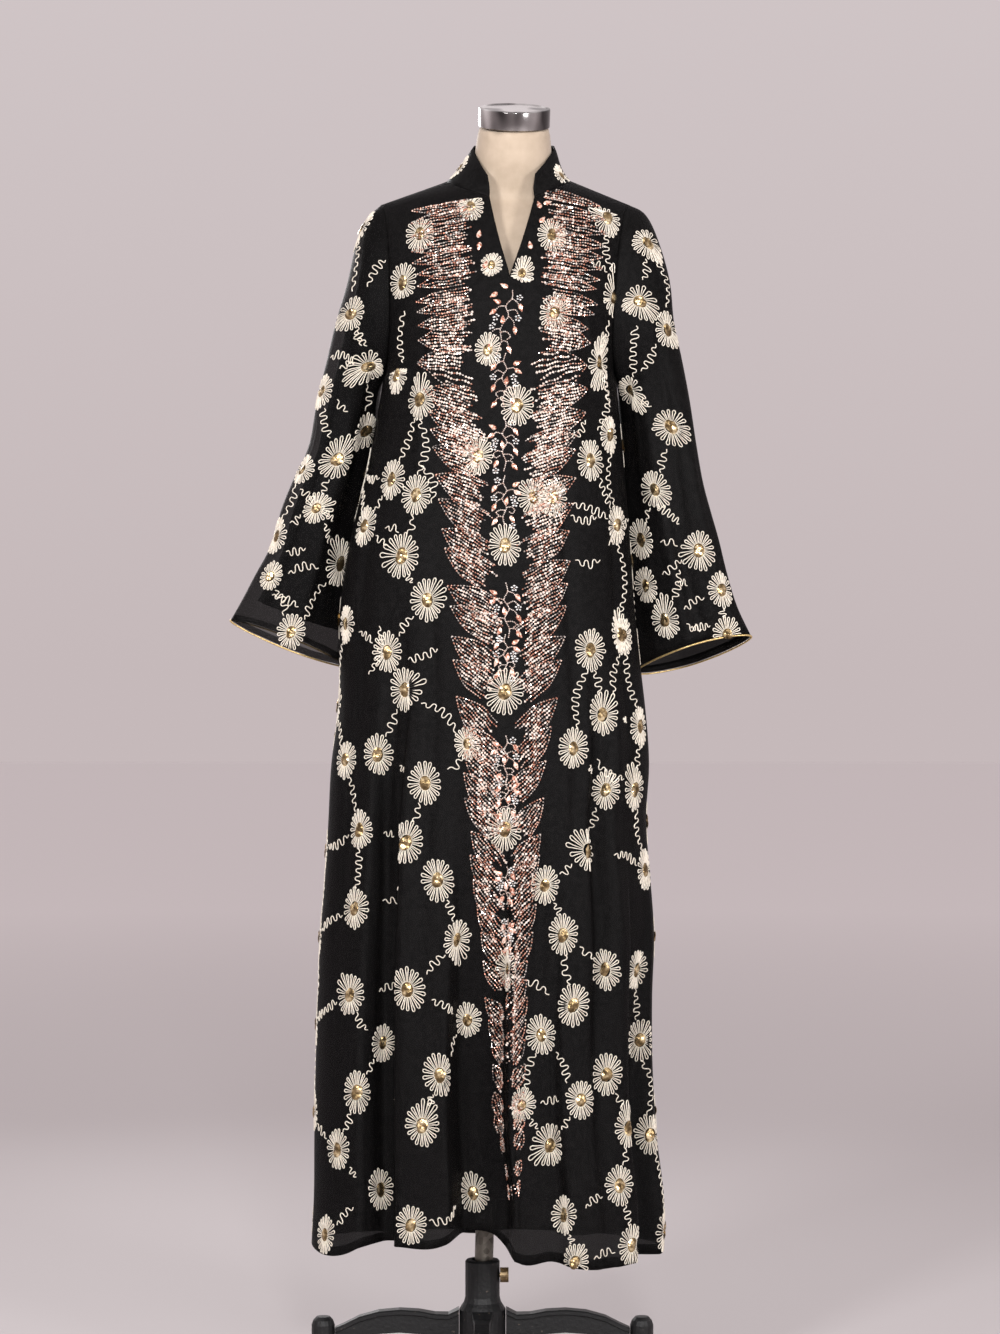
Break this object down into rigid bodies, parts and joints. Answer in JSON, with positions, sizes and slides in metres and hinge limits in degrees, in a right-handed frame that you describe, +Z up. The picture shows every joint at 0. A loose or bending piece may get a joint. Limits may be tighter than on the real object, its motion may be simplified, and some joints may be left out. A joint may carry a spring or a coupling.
{
  "type": "abaya on a dress form with stand",
  "caption": "Full length black abaya with stand collar, V neck and bell sleeves, worn by a limbless dress form on a pole with a cast four legged stand.",
  "frame": {"origin": "middle of the whole part on the floor that its four feet stand on", "axes": "+Z up the stand, the garment's front faces -Y, and +X is the viewer's right in front of it"},
  "size_m": [0.7057, 0.4614, 1.735],
  "materials": {
    "georgette": "sheer matt black georgette with a fine crepe grain",
    "lining": "opaque matt black lining cloth",
    "embroidery": "cream twisted cord couched in loops",
    "gold_trim": "gold sequins and piping, satin",
    "rose_gold_beads": "metallic rose gold glass beads",
    "silver_beads": "silver lined and pearl white glass beads",
    "form_cover": "smooth cream jersey over a padded form",
    "chrome": "polished neck cap",
    "galvanised": "galvanised tube, slightly spangled",
    "cast_iron": "black paint over rough casting, small chips",
    "antique_brass": "dull antique brass, knurled"
  },
  "bodies": {
    "stand": {"stand_socket": "cast_iron", "leg_front": "cast_iron", "leg_back": "cast_iron", "leg_left": "cast_iron", "leg_right": "cast_iron", "foot_front": "cast_iron", "foot_back": "cast_iron", "foot_left": "cast_iron", "foot_right": "cast_iron"},
    "pole": {"pole": "galvanised"},
    "dressed_form": {"form_body": "form_cover", "neck_cap": "chrome", "front_panel": "georgette", "back_panel": "georgette", "sleeve_left": "georgette", "sleeve_right": "georgette", "collar": "georgette", "lining_body": "lining", "lining_sleeve_left": "lining", "lining_sleeve_right": "lining", "cuff_piping_left": "gold_trim", "cuff_piping_right": "gold_trim"},
    "thumb_screw": {"thumb_screw": "antique_brass"}
  },
  "joints": [
    {"name": "stand_height", "type": "slide", "parent": "stand", "child": "pole", "axis": [0.0266, 0, 0.9996], "range_m": [-0.035, 0.075]},
    {"name": "form_turn", "type": "hinge", "parent": "pole", "child": "dressed_form", "pos_m": [0.00984, 0, 0.9], "axis": [0.0266, 0, 0.9996], "continuous": true},
    {"name": "screw_turn", "type": "hinge", "parent": "stand", "child": "thumb_screw", "pos_m": [-0.0115, 0, 0.15], "axis": [1, 0, 0], "continuous": true}
  ]
}
